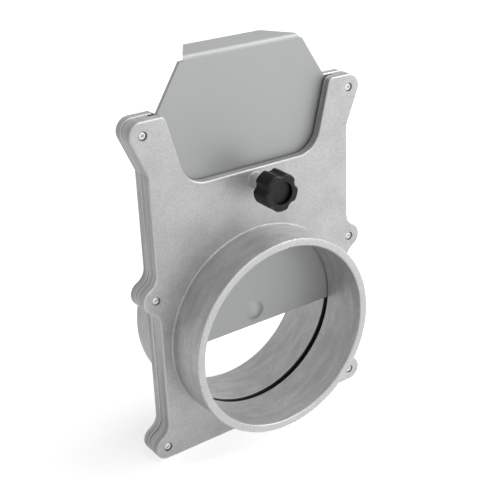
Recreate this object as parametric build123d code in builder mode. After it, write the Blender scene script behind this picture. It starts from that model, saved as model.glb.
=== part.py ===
from build123d import *
import os
from math import cos, isclose, radians, sin, sqrt, tan

# Cast aluminium blast gate for a round dust duct, with its blade half raised
# Millimetres. The origin is on the duct's axis in the middle of the blade's thickness:
# -Y is the front with the clamp knob, +Z is the way the blade is pulled out
os.makedirs("parts", exist_ok=True)

# Duct connection
duct_radius = 50.0  # outside of both spigots
spigot_wall = 4.0
front_spigot_length = 22.0
rear_spigot_length = 22.0
rim_round = 0.8
spigot_root_round = 0.7
bore_edge_chamfer = 0.4  # where the bores meet the blade's gap

# Sheet blade
blade_side_lap = 4.0  # how far the blade reaches past the bore on each side
blade_lap = 3.2  # how far the closed blade passes the bore
blade_end_gap = 0.8  # below the closed blade's lower edge
blade_thickness = 2.0
blade_corner = 3.0
blade_rest_drop = 4.5  # lower edge below the duct's axis in the half-open place
fold_side_gap = 4.5  # between the fold's ends and the corners of the cut-out's floor
closed_fold_rise = 13.1  # top of the closed blade's fold above the cut-out's floor
shoulder_slope = 0.62  # narrowing on each side for each millimetre along the sheet
fold_inner_radius = 0.5
flange_reach = 17.0  # from the blade's front face to the flange's rear edge
flange_corner = 1.2
stop_dimple_radius = 5.0
stop_dimple_height = 1.6
stop_dimple_rise = 7.8  # centre above the blade's lower edge
stop_dimple_blend = 3.0

# Castings
front_wall = 5.0
rear_wall = 5.0
side_wall = 4.9
bottom_wall = 6.15
edge_round = 0.8
parting_chamfer = 0.7
blade_face_gap = 0.4
blade_edge_gap = 0.4
pocket_corner = 2.0

# Fastening lugs
lug_radius = 6.4
lug_overhang = 1.2  # lug centres outside the plate's straight sides
lug_blend = 7.5
flank_angle = 23.0  # of the top lugs' outer flanks, from vertical
flank_blend = 10.0

# Hand cut-out in the top of both castings
cutout_rise = 30.0  # floor above the top of the spigots
cutout_lip = 14.0  # blade left covered on each side of the floor
arm_height = 34.65  # plate's arms above the floor
cutout_slope = 0.265
cutout_floor_round = 13.0
cutout_mouth_round = 3.0

# Blind rivets
rivet_hole_radius = 1.1
rivet_sink_radius = 2.15
rivet_sink_depth = 1.2
tail_sink_depth = 2.6
rivet_shank_gap = 0.05
rivet_head_gap = 0.2
rivet_head_height = 0.9
rivet_head_edge = 0.35  # straight edge below the head's cone
rivet_head_crown = 0.6  # width of the cone outside the head's flat face
rivet_tail_height = 2.2
rivet_tail_cone = 0.7
rivet_tail_gap = 0.25
mandrel_radius = 0.65
mandrel_gap = 0.03
mandrel_sink = 0.25

# Clamp screw and knob
clamp_drop = 5.8  # screw axis below the cut-out's floor
screw_radius = 2.5
screw_gap = 0.05
screw_tip_gap = 0.1
screw_tip_chamfer = 0.6
boss_wall = 1.45
boss_height = 7.0
boss_root_round = 0.4
boss_end_chamfer = 0.4
knob_standoff = 2.0  # from the boss to the knob's hub
hub_radius = 5.5
hub_height = 2.0
hub_chamfer = 0.5
knob_radius = 9.2
knob_thickness = 10.6
lobe_count = 5
scallop_radius = 3.1
scallop_centre_radius = 11.0
lobe_corner = 1.5
knob_edge_round = 1.2
knob_rear_chamfer = 0.7
cap_radius = 5.5
cap_gap = 0.04
cap_thickness = 1.2
cap_recess_depth = 3.4
cap_edge_chamfer = 0.25
cap_seat_floor = 1.5  # knob material between the screw's end and the cap

# Widths
bore_radius = duct_radius - spigot_wall
blade_half_width = bore_radius + blade_side_lap
cutout_floor_half_width = blade_half_width - cutout_lip
fold_half_width = cutout_floor_half_width - fold_side_gap

# Layers from front to rear
pocket_half_depth = blade_thickness / 2 + blade_face_gap
pocket_half_width = blade_half_width + blade_edge_gap
front_face = pocket_half_depth + front_wall  # distance in front of the blade's middle
rear_face = pocket_half_depth + rear_wall

# Heights
cutout_floor = duct_radius + cutout_rise
pocket_floor = -(bore_radius + blade_lap + blade_end_gap)
plate_bottom = pocket_floor - bottom_wall
plate_top = cutout_floor + arm_height
plate_middle = (plate_top + plate_bottom) / 2
plate_half_width = pocket_half_width + side_wall
lug_x = plate_half_width + lug_overhang
top_lug = plate_top - lug_radius
bottom_lug = plate_bottom + lug_radius
lug_places = [(side * lug_x, z) for side in (-1, 1) for z in (bottom_lug, plate_middle, top_lug)]
clamp_axis = cutout_floor - clamp_drop

front_plane = Plane.XZ.offset(front_face)
parting_plane = Plane.XZ.offset(-pocket_half_depth)
rear_plane = Plane(origin=(0, rear_face, 0), x_dir=(-1, 0, 0), z_dir=(0, 1, 0))


def on_circle(edge, radius, y):
    """True for a round edge of this radius that lies at this depth."""
    return (
        edge.geom_type == GeomType.CIRCLE
        and isclose(edge.radius, radius, abs_tol=0.01)
        and isclose(edge.center().Y, y, abs_tol=0.01)
    )


def draw_plate():
    """Draw the outline that both castings share: six lugs and the hand cut-out."""
    with Locations((0, plate_middle)):
        Rectangle(2 * plate_half_width, plate_top - plate_bottom)
    with Locations(*lug_places):
        Circle(lug_radius)
    # The top lugs run down to the plate's sides in a straight flank, tangent to the lug
    flank_x = lug_x + lug_radius * cos(radians(flank_angle))
    flank_z = top_lug - lug_radius * sin(radians(flank_angle))
    flank_foot = flank_z - (flank_x - plate_half_width) / tan(radians(flank_angle))
    for side in (-1, 1):
        Polygon(
            (side * plate_half_width, flank_foot),
            (side * flank_x, flank_z),
            (side * lug_x, top_lug),
            (side * plate_half_width, top_lug),
            align=None,
        )
    # The lower lugs blend into the sides on both flanks, or on the upper one at the bottom
    side_corners = vertices().filter_by(
        lambda v: isclose(abs(v.X), plate_half_width, abs_tol=0.01) and v.Y > bottom_lug
    )
    lug_corners = side_corners.filter_by(lambda v: v.Y < flank_foot - 1)
    flank_corners = side_corners.filter_by(lambda v: isclose(v.Y, flank_foot, abs_tol=0.01))
    fillet(lug_corners, lug_blend)
    fillet(flank_corners, flank_blend)
    # Hand cut-out with sloping sides, open at the top
    mouth_half_width = cutout_floor_half_width + cutout_slope * (plate_top - cutout_floor)
    Polygon(
        (-cutout_floor_half_width, cutout_floor),
        (cutout_floor_half_width, cutout_floor),
        (mouth_half_width, plate_top),
        (-mouth_half_width, plate_top),
        align=None,
        mode=Mode.SUBTRACT,
    )
    fillet(
        vertices().filter_by(lambda v: isclose(v.Y, cutout_floor, abs_tol=0.01)),
        cutout_floor_round,
    )
    fillet(
        vertices().filter_by(
            lambda v: isclose(v.Y, plate_top, abs_tol=0.01)
            and isclose(abs(v.X), mouth_half_width, abs_tol=0.01)
        ),
        cutout_mouth_round,
    )


# Front casting: plate with the blade pocket, spigot and clamp boss
with BuildPart() as front_housing:
    with BuildSketch(parting_plane):
        draw_plate()
    extrude(amount=front_face + pocket_half_depth)
    fillet(faces().sort_by(Axis.Y)[0].outer_wire().edges(), edge_round)
    chamfer(faces().sort_by(Axis.Y)[-1].outer_wire().edges(), parting_chamfer)
    with BuildSketch(front_plane):
        Circle(duct_radius)
    extrude(amount=front_spigot_length)
    fillet(edges().filter_by(lambda e: on_circle(e, duct_radius, -front_face)), spigot_root_round)
    boss_radius = screw_radius + screw_gap + boss_wall
    with BuildSketch(front_plane):
        with Locations((0, clamp_axis)):
            Circle(boss_radius)
    extrude(amount=boss_height)
    fillet(edges().filter_by(lambda e: on_circle(e, boss_radius, -front_face)), boss_root_round)
    chamfer(
        edges().filter_by(lambda e: on_circle(e, boss_radius, -front_face - boss_height)),
        boss_end_chamfer,
    )
    # Blade pocket, open at the top, with the cutter's radius in its lower corners
    with BuildSketch(parting_plane):
        with Locations((0, (plate_top + pocket_floor) / 2)):
            Rectangle(2 * pocket_half_width, plate_top - pocket_floor)
        fillet(vertices().group_by(Axis.Y)[0], pocket_corner)
    extrude(amount=2 * pocket_half_depth, mode=Mode.SUBTRACT)
    # Airway
    with BuildSketch(parting_plane):
        Circle(bore_radius)
    extrude(
        amount=front_face + pocket_half_depth + front_spigot_length,
        mode=Mode.SUBTRACT,
    )
    chamfer(
        edges().filter_by(lambda e: on_circle(e, bore_radius, -pocket_half_depth)),
        bore_edge_chamfer,
    )
    rim_y = -front_face - front_spigot_length
    fillet(
        edges().filter_by(
            lambda e: on_circle(e, duct_radius, rim_y) or on_circle(e, bore_radius, rim_y)
        ),
        rim_round,
    )
    with Locations(front_plane):
        with Locations(*lug_places):
            CounterBoreHole(rivet_hole_radius, rivet_sink_radius, rivet_sink_depth)
        with Locations((0, clamp_axis, boss_height)):
            Hole(screw_radius + screw_gap, depth=boss_height + front_wall)
front_housing.part.label = "front_housing"

# Rear casting: flat plate and spigot
with BuildPart() as rear_housing:
    with BuildSketch(Plane.XZ.offset(-rear_face)):
        draw_plate()
    extrude(amount=rear_wall)
    fillet(faces().sort_by(Axis.Y)[-1].outer_wire().edges(), edge_round)
    chamfer(faces().sort_by(Axis.Y)[0].outer_wire().edges(), parting_chamfer)
    with BuildSketch(rear_plane):
        Circle(duct_radius)
    extrude(amount=rear_spigot_length)
    fillet(edges().filter_by(lambda e: on_circle(e, duct_radius, rear_face)), spigot_root_round)
    with BuildSketch(rear_plane.offset(-rear_wall)):
        Circle(bore_radius)
    extrude(amount=rear_wall + rear_spigot_length, mode=Mode.SUBTRACT)
    chamfer(
        edges().filter_by(lambda e: on_circle(e, bore_radius, pocket_half_depth)),
        bore_edge_chamfer,
    )
    rear_rim_y = rear_face + rear_spigot_length
    fillet(
        edges().filter_by(
            lambda e: on_circle(e, duct_radius, rear_rim_y) or on_circle(e, bore_radius, rear_rim_y)
        ),
        rim_round,
    )
    with Locations(rear_plane):
        with Locations(*lug_places):
            CounterBoreHole(rivet_hole_radius, rivet_sink_radius, tail_sink_depth)
rear_housing.part.label = "rear_housing"

# Blade: one sheet with its top folded back, tapered along the fold's ends
blade_front = -blade_thickness / 2
blade_bottom = -blade_rest_drop
blade_top = blade_bottom + bore_radius + blade_lap + cutout_floor + closed_fold_rise
fold_outer_radius = fold_inner_radius + blade_thickness
flange_end = blade_front + flange_reach
shoulder_foot = blade_top - (blade_half_width - fold_half_width) / shoulder_slope
flange_half_width = fold_half_width - shoulder_slope * flange_reach
dimple_height = blade_bottom + stop_dimple_rise
dimple_sphere = (stop_dimple_radius**2 + stop_dimple_height**2) / (2 * stop_dimple_height)
dimple_centre_y = blade_front - stop_dimple_height + dimple_sphere
with BuildPart() as slide_blade:
    with BuildSketch(Plane.YZ.offset(-blade_half_width)):
        with BuildLine():
            FilletPolyline(
                (blade_front, blade_bottom),
                (blade_front, blade_top),
                (flange_end, blade_top),
                radius=fold_outer_radius,
            )
            Line((flange_end, blade_top), (flange_end, blade_top - blade_thickness))
            FilletPolyline(
                (flange_end, blade_top - blade_thickness),
                (blade_front + blade_thickness, blade_top - blade_thickness),
                (blade_front + blade_thickness, blade_bottom),
                radius=fold_inner_radius,
            )
            Line((blade_front + blade_thickness, blade_bottom), (blade_front, blade_bottom))
        make_face()
    extrude(amount=2 * blade_half_width)
    # Shoulders of the upright sheet
    with BuildSketch(Plane.XZ.offset(-blade_front)):
        for side in (-1, 1):
            Polygon(
                (side * blade_half_width, shoulder_foot),
                (side * blade_half_width, blade_top),
                (side * fold_half_width, blade_top),
                align=None,
            )
    extrude(amount=-flange_reach, mode=Mode.SUBTRACT)
    # The same cut line goes on along the flange
    with BuildSketch(Plane.XY.offset(blade_top)):
        for side in (-1, 1):
            Polygon(
                (side * fold_half_width, blade_front),
                (side * blade_half_width, blade_front),
                (side * blade_half_width, flange_end),
                (side * flange_half_width, flange_end),
                align=None,
            )
    extrude(amount=-fold_outer_radius, mode=Mode.SUBTRACT)
    fillet(
        edges()
        .filter_by(Axis.Z)
        .filter_by(lambda e: isclose(e.center().Y, flange_end, abs_tol=0.01)),
        flange_corner,
    )
    fillet(
        edges()
        .filter_by(Axis.Y)
        .filter_by(lambda e: isclose(e.center().Z, blade_bottom, abs_tol=0.01)),
        blade_corner,
    )
    # Stop dimple, pressed out to the front from a round dent in the rear
    with Locations((0, dimple_centre_y, dimple_height)):
        Sphere(dimple_sphere - blade_thickness, mode=Mode.SUBTRACT)
    with BuildSketch(Plane.XY.offset(dimple_height)):
        with BuildLine():
            Line((0, blade_front), (0, blade_front - stop_dimple_height))
            ThreePointArc(
                (0, blade_front - stop_dimple_height),
                (
                    stop_dimple_radius / 2,
                    dimple_centre_y - sqrt(dimple_sphere**2 - (stop_dimple_radius / 2) ** 2),
                ),
                (stop_dimple_radius, blade_front),
            )
            Line((stop_dimple_radius, blade_front), (0, blade_front))
        make_face()
    revolve(axis=Axis((0, 0, dimple_height), (0, 1, 0)))
    fillet(
        edges().filter_by(lambda e: on_circle(e, stop_dimple_radius, blade_front)),
        stop_dimple_blend,
    )
slide_blade.part.label = "slide_blade"

# Six set blind rivets: low crowned head in front, bulged tail in the rear sink
shank_radius = rivet_hole_radius - rivet_shank_gap
head_radius = rivet_sink_radius - rivet_head_gap
tail_radius = rivet_sink_radius - rivet_tail_gap
head_seat = -front_face + rivet_sink_depth
tail_seat = rear_face - tail_sink_depth
core_radius = mandrel_radius + mandrel_gap
rivet_front = head_seat - rivet_head_height
rivet_rear = tail_seat + rivet_tail_height
with BuildPart() as housing_rivets:
    for lug in lug_places:
        with BuildSketch(Plane(origin=(lug[0], 0, lug[1]), x_dir=(1, 0, 0), z_dir=(0, 0, 1))):
            with BuildLine():
                Polyline(
                    (core_radius, rivet_front),
                    (core_radius, rivet_rear),
                    (shank_radius, rivet_rear),
                    (tail_radius, rivet_rear - rivet_tail_cone),
                    (tail_radius, tail_seat),
                    (shank_radius, tail_seat),
                    (shank_radius, head_seat),
                    (head_radius, head_seat),
                    (head_radius, head_seat - rivet_head_edge),
                    (head_radius - rivet_head_crown, rivet_front),
                    close=True,
                )
            make_face()
        revolve(axis=Axis((lug[0], 0, lug[1]), (0, 1, 0)))
housing_rivets.part.label = "housing_rivets"

# Mandrel stubs: snapped off just below the rivet's face, with their heads behind the tails
with BuildPart() as rivet_mandrels:
    for lug in lug_places:
        with BuildSketch(Plane.XZ.offset(-rivet_rear)):
            with Locations(lug):
                Circle(mandrel_radius)
        extrude(amount=rivet_rear - rivet_front - mandrel_sink)
rivet_mandrels.part.label = "rivet_mandrels"

# Clamp screw: a stud from just in front of the blade into the knob
screw_tip = blade_front - screw_tip_gap
knob_rear = -front_face - boss_height - knob_standoff
lobes_rear = knob_rear - hub_height
knob_front = lobes_rear - knob_thickness
cap_seat = knob_front + cap_recess_depth
screw_end = cap_seat + cap_seat_floor
with BuildPart() as clamp_screw:
    with BuildSketch(Plane.XZ.offset(-screw_tip)):
        with Locations((0, clamp_axis)):
            Circle(screw_radius)
    extrude(amount=screw_tip - screw_end)
    chamfer(edges().filter_by(GeomType.CIRCLE).sort_by(Axis.Y)[-1], screw_tip_chamfer)
clamp_screw.part.label = "clamp_screw"

# Star knob: scalloped grip on a round hub, bored for the stud and recessed for the cap
with BuildPart() as star_knob:
    with BuildSketch(Plane.XZ.offset(-lobes_rear)):
        with Locations((0, clamp_axis)):
            Circle(knob_radius)
            # One scallop points straight up
            with PolarLocations(scallop_centre_radius, lobe_count, start_angle=90):
                Circle(scallop_radius, mode=Mode.SUBTRACT)
        fillet(vertices(), lobe_corner)
    extrude(amount=knob_thickness)
    fillet(faces().sort_by(Axis.Y)[0].outer_wire().edges(), knob_edge_round)
    chamfer(faces().sort_by(Axis.Y)[-1].outer_wire().edges(), knob_rear_chamfer)
    with BuildSketch(Plane.XZ.offset(-knob_rear)):
        with Locations((0, clamp_axis)):
            Circle(hub_radius)
    extrude(amount=hub_height)
    chamfer(edges().filter_by(lambda e: on_circle(e, hub_radius, knob_rear)), hub_chamfer)
    with BuildSketch(Plane.XZ.offset(-knob_front)):
        with Locations((0, clamp_axis)):
            Circle(cap_radius + cap_gap)
    extrude(amount=-cap_recess_depth, mode=Mode.SUBTRACT)
    with BuildSketch(Plane.XZ.offset(-knob_rear)):
        with Locations((0, clamp_axis)):
            Circle(screw_radius + screw_gap)
    extrude(amount=knob_rear - screw_end + screw_gap, mode=Mode.SUBTRACT)
star_knob.part.label = "star_knob"

# Cap disc in the knob's recess
with BuildPart() as knob_cap:
    with BuildSketch(Plane.XZ.offset(-cap_seat)):
        with Locations((0, clamp_axis)):
            Circle(cap_radius)
    extrude(amount=cap_thickness)
    chamfer(edges().filter_by(GeomType.CIRCLE).sort_by(Axis.Y)[0], cap_edge_chamfer)
knob_cap.part.label = "knob_cap"

for piece in (
    front_housing,
    rear_housing,
    slide_blade,
    clamp_screw,
    star_knob,
    knob_cap,
    housing_rivets,
    rivet_mandrels,
):
    export_step(piece.part, f"parts/{piece.part.label}.step")
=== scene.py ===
from math import cos, pi, radians, sin, tau

import bmesh
import bpy
from mathutils import Matrix, Vector


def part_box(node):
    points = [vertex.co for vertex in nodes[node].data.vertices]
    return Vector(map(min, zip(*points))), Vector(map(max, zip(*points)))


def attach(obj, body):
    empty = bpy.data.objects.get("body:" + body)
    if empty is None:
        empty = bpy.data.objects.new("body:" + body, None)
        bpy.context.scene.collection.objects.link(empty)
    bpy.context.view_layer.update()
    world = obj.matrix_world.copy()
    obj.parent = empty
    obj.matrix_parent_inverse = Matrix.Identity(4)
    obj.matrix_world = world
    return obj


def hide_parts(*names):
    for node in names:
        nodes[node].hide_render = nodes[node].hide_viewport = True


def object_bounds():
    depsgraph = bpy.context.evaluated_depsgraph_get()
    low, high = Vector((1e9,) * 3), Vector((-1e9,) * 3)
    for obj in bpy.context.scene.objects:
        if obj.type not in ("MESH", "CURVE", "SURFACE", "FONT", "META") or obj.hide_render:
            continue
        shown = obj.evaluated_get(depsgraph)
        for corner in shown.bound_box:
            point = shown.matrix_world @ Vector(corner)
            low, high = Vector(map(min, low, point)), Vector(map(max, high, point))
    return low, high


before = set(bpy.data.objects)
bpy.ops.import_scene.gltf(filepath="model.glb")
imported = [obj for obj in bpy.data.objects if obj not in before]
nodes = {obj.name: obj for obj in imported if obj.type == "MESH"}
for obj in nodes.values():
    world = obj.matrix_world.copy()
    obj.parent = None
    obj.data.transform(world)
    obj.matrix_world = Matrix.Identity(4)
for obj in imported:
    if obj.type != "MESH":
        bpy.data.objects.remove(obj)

# The box of the CAD part as imported, before any piece is hidden or added
cad_low, cad_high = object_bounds()

MM = 0.001

# Places of the part, from the frame where its boxes give them
plate_low, plate_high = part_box("front_housing")
rivet_low, rivet_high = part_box("housing_rivets")
mandrel_low, mandrel_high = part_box("rivet_mandrels")
screw_low, screw_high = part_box("clamp_screw")
parting_y = plate_high.y
rim_y = -plate_low.y
plate_wall = 5 * MM
plate_face_y = parting_y + plate_wall
duct_radius = 50 * MM
spigot_wall = 4 * MM
bore_radius = duct_radius - spigot_wall


# Node helpers: a value is a number, a socket or a colour


def new_material(name):
    """Returns a material, its node tree and its principled shader."""
    material = bpy.data.materials.new(name)
    material.use_nodes = True
    tree = material.node_tree
    return material, tree, tree.nodes["Principled BSDF"]


def add(tree, kind, **values):
    """Adds a node and sets its properties by name."""
    node = tree.nodes.new(kind)
    for key, value in values.items():
        setattr(node, key, value)
    return node


def feed(tree, socket, value):
    """Sets an input to a number or a colour, or links a socket to it."""
    if isinstance(value, (int, float)):
        socket.default_value = value
    elif isinstance(value, tuple):
        socket.default_value = (*value, 1.0)
    else:
        tree.links.new(value, socket)


def calc(tree, operation, first, second=None):
    """The result of one maths node."""
    node = add(tree, "ShaderNodeMath", operation=operation)
    feed(tree, node.inputs[0], first)
    if second is not None:
        feed(tree, node.inputs[1], second)
    return node.outputs["Value"]


def total(tree, *values):
    """The sum of several values."""
    result = values[0]
    for value in values[1:]:
        result = calc(tree, "ADD", result, value)
    return result


def product(tree, *values):
    """The product of several values."""
    result = values[0]
    for value in values[1:]:
        result = calc(tree, "MULTIPLY", result, value)
    return result


def weighted(tree, sockets, weights):
    """The sum of sockets found by name, each times its weight."""
    return total(tree, *(product(tree, sockets[name], weight) for name, weight in weights.items()))


def inverse(tree, value):
    """One less a value."""
    return calc(tree, "SUBTRACT", 1.0, value)


def span(tree, value, low, high, new_low=0.0, new_high=1.0):
    """Maps a value's span onto another, clamped and eased at both ends."""
    node = add(tree, "ShaderNodeMapRange", interpolation_type="SMOOTHSTEP")
    feed(tree, node.inputs["Value"], value)
    node.inputs["From Min"].default_value = low
    node.inputs["From Max"].default_value = high
    node.inputs["To Min"].default_value = new_low
    node.inputs["To Max"].default_value = new_high
    return node.outputs["Result"]


def spread(tree, noisy, half_width=0.2, new_low=0.0, new_high=1.0):
    """Spreads noise, which lies around 0.5, over a whole span."""
    return span(tree, noisy, 0.5 - half_width, 0.5 + half_width, new_low, new_high)


def band(tree, value, centre, half_width, edge):
    """One near a centre value, falling to zero past the half width."""
    distance = calc(tree, "ABSOLUTE", calc(tree, "SUBTRACT", value, centre))
    return inverse(tree, span(tree, distance, half_width, half_width + edge))


def mix(tree, factor, first, second):
    """Mixes two colours by a factor."""
    node = add(tree, "ShaderNodeMix", data_type="RGBA")
    feed(tree, node.inputs["Factor"], factor)
    inputs = [socket for socket in node.inputs if socket.type == "RGBA"]
    feed(tree, inputs[0], first)
    feed(tree, inputs[1], second)
    return next(socket for socket in node.outputs if socket.type == "RGBA")


def place_of(tree):
    """The place on the object, in its own coordinates."""
    return add(tree, "ShaderNodeTexCoord").outputs["Object"]


def parts_of(tree, vector):
    """The x, y and z of a vector."""
    parts = add(tree, "ShaderNodeSeparateXYZ")
    tree.links.new(vector, parts.inputs["Vector"])
    return parts.outputs["X"], parts.outputs["Y"], parts.outputs["Z"]


def facing(tree):
    """How far the surface faces along the object's y axis, without sign."""
    normal = add(tree, "ShaderNodeTexCoord").outputs["Normal"]
    return calc(tree, "ABSOLUTE", parts_of(tree, normal)[1])


def distance_from_axis(tree, first, second):
    """Distance from an axis through the origin, from the two coordinates across it."""
    squares = total(tree, product(tree, first, first), product(tree, second, second))
    return calc(tree, "SQRT", squares)


def noise(tree, place, wavelength, detail=2.0, roughness=0.5, stretch=(1, 1, 1)):
    """Noise of a wavelength in metres, drawn out along an axis where its stretch is small."""
    mapping = add(tree, "ShaderNodeMapping")
    mapping.inputs["Scale"].default_value = stretch
    tree.links.new(place, mapping.inputs["Vector"])
    node = add(tree, "ShaderNodeTexNoise")
    node.inputs["Scale"].default_value = 1 / wavelength
    node.inputs["Detail"].default_value = detail
    node.inputs["Roughness"].default_value = roughness
    tree.links.new(mapping.outputs["Vector"], node.inputs["Vector"])
    return node.outputs["Fac"]


def noises_of(tree, place, table):
    """All noises of a table, by name."""
    return {name: noise(tree, place, *values) for name, values in table.items()}


def relief(tree, height, shader):
    """Gives the shader a bump whose height is in millimetres."""
    node = add(tree, "ShaderNodeBump")
    node.inputs["Strength"].default_value = 1.0
    node.inputs["Distance"].default_value = MM
    tree.links.new(height, node.inputs["Height"])
    tree.links.new(node.outputs["Normal"], shader.inputs["Normal"])


# Cast metal

# Wavelength, detail, roughness and stretch of each noise
CAST_NOISES = {
    "wave": (14 * MM, 2.0, 0.5, (1, 1, 1)),
    "lumps": (2.6 * MM, 3.0, 0.6, (1, 1, 1)),
    "grain": (1.1 * MM, 2.0, 0.6, (1, 1, 1)),
    "speck": (0.5 * MM, 1.0, 0.5, (1, 1, 1)),
    "layers": (1.7 * MM, 3.0, 0.6, (0.03, 1, 0.03)),
    "cloud": (11 * MM, 4.0, 0.6, (1, 1, 1)),
    "drift": (3.2 * MM, 4.0, 0.6, (0.22, 1, 0.22)),
}

# Height of each kind of relief in millimetres
CAST_HEIGHTS = {
    "wave": 0.05,
    "grain": 0.045,
    "speck": 0.02,
    "wall lumps": 0.16,
    "wall grain": 0.07,
    "ground layers": 0.16,
    "rim speck": 0.05,
}

# The base colour runs from dark to light with a blend of noises
CAST_DARK = (0.425, 0.422, 0.422)
CAST_LIGHT = (0.615, 0.611, 0.61)
CAST_TONE = {"cloud": 0.3, "grain": 0.4, "speck": 0.3}
MOTTLE_TONE = {"grain": 0.6, "speck": 0.4}

# Colours laid over the base, in this order, and the share that each covers
CAST_COATS = {
    "drift": ((0.66, 0.656, 0.655), 0.7),
    "mottle": ((0.3, 0.298, 0.298), 0.4),
    "streaks": ((0.27, 0.268, 0.268), 0.7),
    "machined": ((0.6, 0.597, 0.597), 1.0),
    # Edges: partly worn metal, partly a painted highlight along the fillets and chamfers
    "worn edges and highlight": ((0.72, 0.717, 0.717), 0.4),
    # Painted shade: near black in the groove where the two castings meet
    "parting line shade": ((0.02, 0.02, 0.02), 0.9),
    # Painted shade on the cut-out's walls beside the blade
    "dust": ((0.05, 0.05, 0.05), 0.75),
}

CAST_METALLIC = 0.6
CAST_ROUGH = 0.5
CAST_ROUGH_SPREAD = 0.06
RIM_ROUGH = -0.14  # added to the roughness on the machined rims
EDGE_ROUGH = -0.12  # added to the roughness on the worn edges

# Spans of noise that become a coat's cover, from none to full
DRIFT_SPAN = (0.38, 0.66)
STREAK_HALF_SPAN = 0.15
MOTTLE_HALF_SPAN = 0.15
SPARKLE_SPAN = (0.45, 0.65)
SPARKLE_COVER = (0.35, 1.0)

# Surfaces that face this far along y are flat, and those between flat and square are edges
FLAT_FROM, FLAT_FULL = 0.8, 0.95
EDGE_CENTRE, EDGE_HALF, EDGE_BLUR = 0.6, 0.3, 0.08

# Blends between areas
PAST_PLATE = 0.3 * MM  # from the plate's face to where the spigot's own finish is full
OUT_OF_BORE = (0.1 * MM, 0.4 * MM)  # outside the bore's radius, none beyond the second
SHORT_OF_RIM = (0.3 * MM, 0.1 * MM)  # before the rim's face, full from the second
ROOT_OFFSET = 0.4 * MM  # middle of the root's fillet, outside the duct's radius
ROOT_HALF_WIDTH = 0.5 * MM
ROOT_BLUR = 0.2 * MM
# Width of the painted shade along the groove where the castings meet
SEAM_SHADE_HALF_WIDTH = 0.22 * MM
SEAM_SHADE_BLUR = 0.15 * MM

# Painted shade lies on the cut-out's walls beside the blade, along the narrow gap to it
GAP_SHADE_X = (46 * MM, 48 * MM)  # none beyond the second
GAP_SHADE_Z = (70 * MM, 76 * MM)  # none below the first
GAP_SHADE_DEPTH = (0.2 * MM, 1.2 * MM)  # from the parting face, none beyond the second


def cast_areas(tree, place):
    """Where each finish of the casting lies, and where painted highlight and painted shade go:
    masks between zero and one.
    """
    x, y, z = parts_of(tree, place)
    face_y = facing(tree)
    radius = distance_from_axis(tree, x, z)
    depth = calc(tree, "ABSOLUTE", y)

    flat = span(tree, face_y, FLAT_FROM, FLAT_FULL)
    not_flat = inverse(tree, flat)
    on_spigot = span(tree, depth, plate_face_y, plate_face_y + PAST_PLATE)
    in_bore = inverse(tree, span(tree, radius, *(bore_radius + reach for reach in OUT_OF_BORE)))
    round_part = calc(tree, "MAXIMUM", in_bore, on_spigot)
    ground = product(tree, not_flat, inverse(tree, round_part))

    # The fillet at the spigot's root faces as an edge does, but gets neither the edges' wear nor
    # their painted highlight
    spigot_root = band(tree, radius, duct_radius + ROOT_OFFSET, ROOT_HALF_WIDTH, ROOT_BLUR)
    edge = band(tree, face_y, EDGE_CENTRE, EDGE_HALF, EDGE_BLUR)
    at_rim = span(tree, depth, *(rim_y - reach for reach in SHORT_OF_RIM))

    return {
        "rim": product(tree, flat, at_rim),
        "wall": product(tree, not_flat, round_part),
        "ground": ground,
        "edge": product(tree, edge, inverse(tree, spigot_root)),
        # Painted shade along the groove where the two castings meet
        "seam_shade": band(tree, y, parting_y, SEAM_SHADE_HALF_WIDTH, SEAM_SHADE_BLUR),
        # Painted shade along the gap between the cut-out's walls and the blade
        "dust": product(
            tree,
            ground,
            inverse(tree, span(tree, calc(tree, "ABSOLUTE", x), *GAP_SHADE_X)),
            span(tree, z, *GAP_SHADE_Z),
            inverse(tree, span(tree, depth, *(parting_y + reach for reach in GAP_SHADE_DEPTH))),
        ),
    }


def cast_relief(tree, areas, noises):
    """Height of the casting's surface: blasted all over, coarser inside and around the spigots."""
    off_edge = inverse(tree, areas["edge"])
    heights = {
        "wave": noises["wave"],
        "grain": product(tree, off_edge, noises["grain"]),
        "speck": product(tree, off_edge, noises["speck"]),
        "wall lumps": product(tree, areas["wall"], noises["lumps"]),
        "wall grain": product(tree, areas["wall"], noises["grain"]),
        "ground layers": product(tree, areas["ground"], noises["layers"]),
        "rim speck": product(tree, areas["rim"], noises["speck"]),
    }
    return weighted(tree, heights, CAST_HEIGHTS)


def cast_colour(tree, areas, noises):
    """The casting's base colour with its coats laid over it."""
    drift = span(tree, noises["drift"], *DRIFT_SPAN)
    mottle = spread(tree, weighted(tree, noises, MOTTLE_TONE), MOTTLE_HALF_SPAN)
    streaks = spread(tree, noises["layers"], STREAK_HALF_SPAN)
    sparkle = span(tree, noises["speck"], *SPARKLE_SPAN, *SPARKLE_COVER)
    covers = {
        "drift": product(tree, areas["wall"], drift),
        "mottle": product(tree, areas["wall"], mottle),
        "streaks": product(tree, areas["ground"], streaks),
        "machined": product(tree, areas["rim"], sparkle),
        # Pale edges: wear and a painted highlight
        "worn edges and highlight": areas["edge"],
        # Painted shade in the groove between the castings
        "parting line shade": areas["seam_shade"],
        # Painted shade beside the blade
        "dust": areas["dust"],
    }
    colour = mix(tree, spread(tree, weighted(tree, noises, CAST_TONE)), CAST_DARK, CAST_LIGHT)
    for name, (coat, share) in CAST_COATS.items():
        colour = mix(tree, product(tree, covers[name], share), colour, coat)
    return colour


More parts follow.
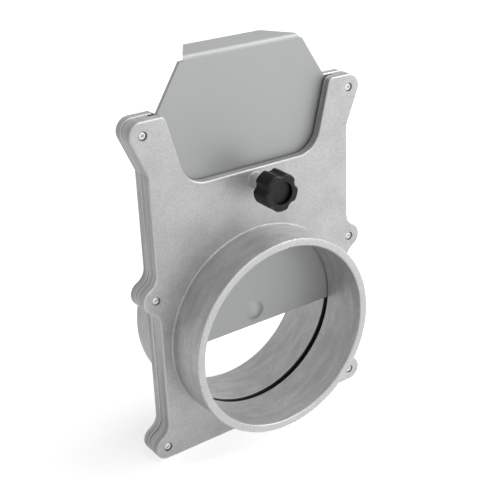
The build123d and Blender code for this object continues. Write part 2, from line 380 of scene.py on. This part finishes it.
def cast_metal():
    """Blasted aluminium casting: rough walls, machined rims, ground sides, pale edges with a
    painted highlight, and painted shade in the groove between the castings and on the cut-out's
    walls beside the blade.
    """
    material, tree, shader = new_material("cast_aluminium")
    place = place_of(tree)
    areas = cast_areas(tree, place)
    noises = noises_of(tree, place, CAST_NOISES)
    relief(tree, cast_relief(tree, areas, noises), shader)
    tree.links.new(cast_colour(tree, areas, noises), shader.inputs["Base Color"])
    low, high = CAST_ROUGH - CAST_ROUGH_SPREAD, CAST_ROUGH + CAST_ROUGH_SPREAD
    rough = total(
        tree,
        spread(tree, noises["grain"], new_low=low, new_high=high),
        product(tree, areas["rim"], RIM_ROUGH),
        product(tree, areas["edge"], EDGE_ROUGH),
    )
    tree.links.new(rough, shader.inputs["Roughness"])
    shader.inputs["Metallic"].default_value = CAST_METALLIC
    return material


# Sheet metal

SHEET_NOISES = {
    "rolled": (1.6 * MM, 3.0, 0.5, (1, 1, 0.03)),
    "cloud": (40 * MM, 2.0),
    "fine": (0.35 * MM, 1.0),
}
SHEET_HEIGHTS = {"rolled": 0.003, "fine": 0.003, "cloud": 0.05}
SHEET_TONE = {"rolled": 0.4, "cloud": 0.6}
SHEET_DARK = (0.403, 0.413, 0.409)
SHEET_LIGHT = (0.426, 0.437, 0.432)
SHEET_ROUGH = 0.52
SHEET_ROUGH_SPREAD = 0.03
SHEET_METALLIC = 0.6


def sheet_metal():
    """Smooth satin aluminium sheet with a faint rolling grain."""
    material, tree, shader = new_material("sheet_aluminium")
    noises = noises_of(tree, place_of(tree), SHEET_NOISES)
    relief(tree, weighted(tree, noises, SHEET_HEIGHTS), shader)
    tone = spread(tree, weighted(tree, noises, SHEET_TONE))
    tree.links.new(mix(tree, tone, SHEET_DARK, SHEET_LIGHT), shader.inputs["Base Color"])
    low, high = SHEET_ROUGH - SHEET_ROUGH_SPREAD, SHEET_ROUGH + SHEET_ROUGH_SPREAD
    rough = spread(tree, noises["rolled"], new_low=low, new_high=high)
    tree.links.new(rough, shader.inputs["Roughness"])
    shader.inputs["Metallic"].default_value = SHEET_METALLIC
    return material


# Fasteners

DULL_SHARE = 0.75  # of a bright metal's colour, where it is handled
BRIGHT_ROUGH_SPREAD = 0.07
FINE_HEIGHT = 0.012  # relief of fasteners and plastics, in millimetres


def bright_metal(name, colour, roughness, wavelength):
    """A bright fastener metal with fine handling marks."""
    material, tree, shader = new_material(name)
    grain = noise(tree, place_of(tree), wavelength)
    dull = tuple(DULL_SHARE * part for part in colour)
    tree.links.new(mix(tree, spread(tree, grain), dull, colour), shader.inputs["Base Color"])
    low, high = roughness - BRIGHT_ROUGH_SPREAD, roughness + BRIGHT_ROUGH_SPREAD
    rough = spread(tree, grain, new_low=low, new_high=high)
    tree.links.new(rough, shader.inputs["Roughness"])
    relief(tree, product(tree, grain, FINE_HEIGHT), shader)
    shader.inputs["Metallic"].default_value = 1.0
    return material


# Plastics

PLASTIC_NOISES = {"texture": (0.3 * MM,), "cloud": (5 * MM,)}
CLOUD_BRIGHTER = 1.4  # times the colour, where the cloud is palest
WEAR_AND_SHEEN_BRIGHTER = 8  # times the colour, where the plastic is worn, and where it carries a painted sheen on flat faces and a painted highlight on edges
EDGE_WEAR_AND_HIGHLIGHT_SHARE = 0.6
PLASTIC_FLAT_FROM, PLASTIC_FLAT_FULL = 0.85, 0.97
PLASTIC_EDGE_CENTRE, PLASTIC_EDGE_HALF, PLASTIC_EDGE_BLUR = 0.55, 0.3, 0.1
PLASTIC_ROUGH_SPREAD = 0.06
PLASTIC_SPECULAR = 0.2


def moulded_plastic(name, colour, roughness, wear_and_sheen):
    """Moulded plastic with a fine eroded texture, paler on its flat faces by a given share for
    wear and a painted sheen, and paler on its edges for wear and a painted highlight.
    """
    material, tree, shader = new_material(name)
    noises = noises_of(tree, place_of(tree), PLASTIC_NOISES)
    face_y = facing(tree)
    flat = span(tree, face_y, PLASTIC_FLAT_FROM, PLASTIC_FLAT_FULL)
    edge = band(tree, face_y, PLASTIC_EDGE_CENTRE, PLASTIC_EDGE_HALF, PLASTIC_EDGE_BLUR)
    paler = tuple(CLOUD_BRIGHTER * part for part in colour)
    worn = tuple(WEAR_AND_SHEEN_BRIGHTER * part for part in colour)
    tone = mix(tree, spread(tree, noises["cloud"]), colour, paler)
    # Flat faces: wear and a painted sheen standing in for their reflection
    tone = mix(tree, product(tree, flat, wear_and_sheen), tone, worn)
    # Edges: wear and a painted highlight along the lobes and scallops
    tone = mix(tree, product(tree, edge, EDGE_WEAR_AND_HIGHLIGHT_SHARE), tone, worn)
    tree.links.new(tone, shader.inputs["Base Color"])
    low, high = roughness - PLASTIC_ROUGH_SPREAD, roughness + PLASTIC_ROUGH_SPREAD
    rough = spread(tree, noises["texture"], new_low=low, new_high=high)
    rough = total(tree, rough, product(tree, edge, EDGE_ROUGH))
    tree.links.new(rough, shader.inputs["Roughness"])
    relief(tree, product(tree, noises["texture"], FINE_HEIGHT), shader)
    shader.inputs["Specular IOR Level"].default_value = PLASTIC_SPECULAR
    return material


casting = cast_metal()
sheet = sheet_metal()
zinc = bright_metal("zinc_steel", (0.66, 0.66, 0.68), 0.3, 0.7 * MM)
rivet_metal = bright_metal("rivet_aluminium", (0.7, 0.7, 0.71), 0.3, 0.6 * MM)
mandrel_metal = bright_metal("mandrel_steel", (0.5, 0.5, 0.52), 0.4, 0.25 * MM)
# The knob's flat faces get wear and a painted sheen; the cap's get none
black = moulded_plastic("black_plastic", (0.007, 0.007, 0.0072), 0.36, wear_and_sheen=0.3)
dark_grey = moulded_plastic("grey_plastic", (0.03, 0.03, 0.031), 0.5, wear_and_sheen=0.0)

CAD_MATERIALS = {
    "front_housing": casting,
    "rear_housing": casting,
    "slide_blade": sheet,
    "clamp_screw": zinc,
    "star_knob": black,
    "knob_cap": dark_grey,
    "housing_rivets": rivet_metal,
    "rivet_mandrels": mandrel_metal,
}

for node_name, node_material in CAD_MATERIALS.items():
    slots = nodes[node_name].data.materials
    slots.clear()
    slots.append(node_material)


# Pieces that replace small fasteners

RIVET_HEAD_RADIUS = 1.95 * MM


def turned_rings(mesh, centre, profile, steps):
    """Adds rings of vertices about a line along y, one for each (radius, y) of the profile.

    A ring of no radius is one vertex. The centre is the line's (x, z)."""
    rings = []
    for radius, y in profile:
        if radius == 0:
            rings.append([mesh.verts.new((centre[0], y, centre[1]))])
            continue
        ring = []
        for step in range(steps):
            angle = tau * step / steps
            x, z = centre[0] + radius * cos(angle), centre[1] + radius * sin(angle)
            ring.append(mesh.verts.new((x, y, z)))
        rings.append(ring)
    return rings


def skin_rings(mesh, rings, closed=False):
    """Joins each ring of vertices to the next with faces, and the last to the first if closed."""
    pairs = list(zip(rings, rings[1:]))
    if closed:
        pairs.append((rings[-1], rings[0]))
    for first, second in pairs:
        count = max(len(first), len(second))
        for step in range(count):
            after = (step + 1) % count
            if len(first) == 1:
                mesh.faces.new((first[0], second[step], second[after]))
            elif len(second) == 1:
                mesh.faces.new((first[step], second[0], first[after]))
            else:
                mesh.faces.new((first[step], second[step], second[after], first[after]))


def finish_piece(name, mesh, material, body, replaced):
    """Turns a bmesh into a smooth piece that rides on a body and stands for a CAD node."""
    bmesh.ops.recalc_face_normals(mesh, faces=mesh.faces)
    data = bpy.data.meshes.new(name)
    mesh.to_mesh(data)
    mesh.free()
    data.shade_smooth()
    data.materials.append(material)
    piece = bpy.data.objects.new(name, data)
    bpy.context.scene.collection.objects.link(piece)
    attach(piece, body)
    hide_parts(replaced)


def lug_centres():
    """The (x, z) of the six rivets, from the box of their node."""
    sides = (rivet_low.x + RIVET_HEAD_RADIUS, rivet_high.x - RIVET_HEAD_RADIUS)
    low, high = rivet_low.z + RIVET_HEAD_RADIUS, rivet_high.z - RIVET_HEAD_RADIUS
    return [(x, z) for x in sides for z in (low, (low + high) / 2, high)]


def quarter_arc(start, end, steps):
    """Points after the start of a quarter ellipse that leaves it along y and ends across y.

    Points are (radius, y)."""
    points = []
    for step in range(1, steps + 1):
        angle = pi / 2 * step / steps
        radius = end[0] + (start[0] - end[0]) * cos(angle)
        points.append((radius, start[1] + (end[1] - start[1]) * sin(angle)))
    return points


def make_rivets():
    """Set blind rivets: domed heads in front with an open core, bulged tails behind."""
    head_radius = RIVET_HEAD_RADIUS
    head_height = 0.9 * MM
    head_edge = 0.2 * MM  # straight part below the dome
    seat_chamfer = 0.05 * MM
    shank_radius = 1.05 * MM
    core_radius = 0.68 * MM
    core_lip = 0.12 * MM
    tail_radius = 1.9 * MM
    tail_height = 2.2 * MM
    tail_cone = 0.8 * MM
    tail_chamfer = 0.2 * MM
    dome_steps, lip_steps, turn_steps = 8, 3, 40
    front, rear = rivet_low.y, rivet_high.y
    seat = front + head_height
    tail_seat = rear - tail_height
    crown = (core_radius + core_lip, front)
    dome_foot = (head_radius, seat - head_edge)
    core_edge = (core_radius, front + core_lip)
    profile = [
        (core_radius, rear),
        (shank_radius, rear),
        (tail_radius, rear - tail_cone),
        (tail_radius, tail_seat + tail_chamfer),
        (tail_radius - tail_chamfer, tail_seat),
        (shank_radius, tail_seat),
        (shank_radius, seat),
        (head_radius - seat_chamfer, seat),
        (head_radius, seat - seat_chamfer),
        dome_foot,
        *quarter_arc(dome_foot, crown, dome_steps),
        *quarter_arc(crown, core_edge, lip_steps)[:-1],
        core_edge,
    ]
    mesh = bmesh.new()
    for centre in lug_centres():
        skin_rings(mesh, turned_rings(mesh, centre, profile, turn_steps), closed=True)
    finish_piece("blind_rivets", mesh, rivet_metal, "housing", "housing_rivets")


def make_mandrels():
    """Broken-off mandrel stubs, each with a small uneven snapped end."""
    radius = 0.65 * MM
    rear_chamfer = 0.1 * MM
    break_depth = 0.3 * MM
    # Share of the radius and depth behind the front
    break_profile = ((0.72, 0.12 * MM), (0.5, 0.02 * MM), (0.2, 0.05 * MM), (0, 0))
    tilt = 0.1
    tilt_turn = 2.1  # radians from one rivet's tilt to the next one's
    turn_steps = 24
    front, rear = mandrel_low.y, mandrel_high.y
    profile = [
        (0, rear),
        (radius - rear_chamfer, rear),
        (radius, rear - rear_chamfer),
        (radius, front + break_depth),
        *((share * radius, front + depth) for share, depth in break_profile),
    ]
    mesh = bmesh.new()
    for number, centre in enumerate(lug_centres()):
        rings = turned_rings(mesh, centre, profile, turn_steps)
        angle = tilt_turn * number
        for ring in rings[-len(break_profile):]:
            for vert in ring:
                along = (vert.co.x - centre[0]) * cos(angle) + (vert.co.z - centre[1]) * sin(angle)
                vert.co.y += tilt * (along + radius)
        skin_rings(mesh, rings)
    finish_piece(
        "snapped_mandrels", mesh, mandrel_metal, "housing", "rivet_mandrels"
    )


def make_threaded_stud():
    """The M5 clamp stud with its thread and a chamfered tip."""
    pitch = 0.8 * MM
    crest_radius = 2.5 * MM
    thread_depth = 0.42 * MM
    tip_chamfer = 0.6 * MM
    # Half widths of the root and of the root with both flanks, as shares of the pitch
    root_half, flank_half = 1 / 8, 1 / 3
    rows_per_turn = 10
    turn_steps = 40
    front, rear = screw_low.y, screw_high.y
    centre_x, centre_z = (screw_low.x + screw_high.x) / 2, (screw_low.z + screw_high.z) / 2
    length = rear - front
    rows = round(length / pitch * rows_per_turn)
    mesh = bmesh.new()
    rings = [[mesh.verts.new((centre_x, front, centre_z))]]
    for row in range(rows + 1):
        along = length * row / rows
        tip_limit = crest_radius - max(0.0, tip_chamfer - (length - along))
        ring = []
        for step in range(turn_steps):
            turn = step / turn_steps
            from_root = abs((along / pitch - turn) % 1.0 - 0.5)
            dip = min(max((flank_half - from_root) / (flank_half - root_half), 0.0), 1.0)
            radius = min(crest_radius - thread_depth * dip, tip_limit)
            x, z = centre_x + radius * cos(tau * turn), centre_z + radius * sin(tau * turn)
            ring.append(mesh.verts.new((x, front + along, z)))
        rings.append(ring)
    rings.append([mesh.verts.new((centre_x, rear, centre_z))])
    skin_rings(mesh, rings)
    finish_piece("threaded_stud", mesh, zinc, "screw", "clamp_screw")


make_rivets()
make_mandrels()
make_threaded_stud()


# Floor and light

FLOOR_HALF = 6.0
FLOOR_GREY = 0.9
FLOOR_ROUGH = 0.9
# The floor's own glow, nearest the part and beyond it, with the distances between which it rises
FLOOR_GLOW_NEAR, FLOOR_GLOW_FAR = 0.72, 1.0
FLOOR_NEAR, FLOOR_FAR = 0.25, 1.6

WORLD_LEVEL = 0.04
BRIGHT_SIDE = (0.7, -0.25, 0.6)
# Cosines from the bright side between which the room's light rises
ROOM_DARK, ROOM_BRIGHT = -0.6, 0.8

# Each soft box: name, place, size in metres and power in watts
LAMPS = (
    ("right_box", (1.1, 0.1, 0.4), 1.1, 4.0),
    ("high_right_box", (0.9, -0.3, 0.9), 0.8, 6.9),
    ("top_box", (0.1, -0.2, 1.3), 0.5, 3.0),
    ("high_front_box", (0.6, -0.8, 1.0), 0.4, 1.0),
    ("low_right_box", (0.6, -1.0, 0.25), 1.1, 1.9),
    ("low_front_box", (0.1, -1.1, 0.1), 1.1, 1.9),
)


def seen_directly(tree):
    """One for camera, reflected and transmitted rays, and zero for rays that light things."""
    path = add(tree, "ShaderNodeLightPath")
    names = ("Is Camera Ray", "Is Glossy Ray", "Is Transmission Ray")
    camera, glossy, through = (path.outputs[name] for name in names)
    return calc(tree, "MAXIMUM", calc(tree, "MAXIMUM", camera, glossy), through)


def make_floor():
    """A wide pale floor under the plate's lower edge, whose glow rises to the backdrop's white."""
    mesh = bpy.data.meshes.new("floor")
    sides = ((-1, -1), (1, -1), (1, 1), (-1, 1))
    corners = [(FLOOR_HALF * x, FLOOR_HALF * y, cad_low.z) for x, y in sides]
    mesh.from_pydata(corners, [], [(0, 1, 2, 3)])
    floor = bpy.data.objects.new("floor", mesh)
    bpy.context.scene.collection.objects.link(floor)
    material, tree, shader = new_material("floor_paper")
    shader.inputs["Base Color"].default_value = (FLOOR_GREY, FLOOR_GREY, FLOOR_GREY, 1)
    shader.inputs["Roughness"].default_value = FLOOR_ROUGH
    shader.inputs["Specular IOR Level"].default_value = 0.0
    shader.inputs["Emission Color"].default_value = (1, 1, 1, 1)
    x, y, _ = parts_of(tree, place_of(tree))
    distance = distance_from_axis(tree, x, y)
    glow = span(tree, distance, FLOOR_NEAR, FLOOR_FAR, FLOOR_GLOW_NEAR, FLOOR_GLOW_FAR)
    tree.links.new(product(tree, seen_directly(tree), glow), shader.inputs["Emission Strength"])
    mesh.materials.append(material)


def make_world():
    """A room that looks white, but lights the part less, and most from its bright side."""
    world = bpy.data.worlds.new("studio")
    bpy.context.scene.world = world
    world.use_nodes = True
    tree = world.node_tree
    toward = add(tree, "ShaderNodeVectorMath", operation="DOT_PRODUCT")
    direction = add(tree, "ShaderNodeTexCoord").outputs["Generated"]
    tree.links.new(direction, toward.inputs[0])
    toward.inputs[1].default_value = Vector(BRIGHT_SIDE).normalized()
    side = span(tree, toward.outputs["Value"], ROOM_DARK, ROOM_BRIGHT, 0.0, WORLD_LEVEL)
    background = tree.nodes["Background"]
    background.inputs["Color"].default_value = (1, 1, 1, 1)
    tree.links.new(calc(tree, "MAXIMUM", side, seen_directly(tree)), background.inputs["Strength"])


def make_lamp(name, place, aim, size, power):
    """A square soft box that points at a place."""
    data = bpy.data.lights.new(name, "AREA")
    data.shape = "SQUARE"
    data.size = size
    data.energy = power
    lamp = bpy.data.objects.new(name, data)
    bpy.context.scene.collection.objects.link(lamp)
    lamp.location = place
    direction = aim - Vector(place)
    lamp.rotation_euler = direction.to_track_quat("-Z", "Y").to_euler()


make_floor()
make_world()
part_middle = (cad_low + cad_high) / 2
for lamp_name, lamp_place, lamp_size, lamp_power in LAMPS:
    make_lamp(lamp_name, lamp_place, part_middle, lamp_size, lamp_power)


# Camera, solved from the photograph: in front, to the left and above

CAMERA_PLACE = (-0.26154, -0.39312, 0.25587)
CAMERA_AIM = (0.04102, -0.0064, 0.04517)
CAMERA_ROLL = radians(-0.711)
CAMERA_SENSOR = 36
CAMERA_LENS = 77.15
CAMERA_SHIFT = (-0.15, -0.07)
CAMERA_CLIP = (0.01, 50)


def make_camera():
    """The photograph's view."""
    data = bpy.data.cameras.new("camera")
    data.sensor_width = CAMERA_SENSOR
    data.lens = CAMERA_LENS
    data.shift_x, data.shift_y = CAMERA_SHIFT
    data.clip_start, data.clip_end = CAMERA_CLIP
    camera = bpy.data.objects.new("camera", data)
    bpy.context.scene.collection.objects.link(camera)
    camera.location = CAMERA_PLACE
    direction = Vector(CAMERA_AIM) - Vector(CAMERA_PLACE)
    level = direction.to_track_quat("-Z", "Y").to_matrix()
    camera.rotation_euler = (level @ Matrix.Rotation(CAMERA_ROLL, 3, "Z")).to_euler()
    bpy.context.scene.camera = camera


make_camera()
bpy.context.scene.view_settings.view_transform = "Standard"
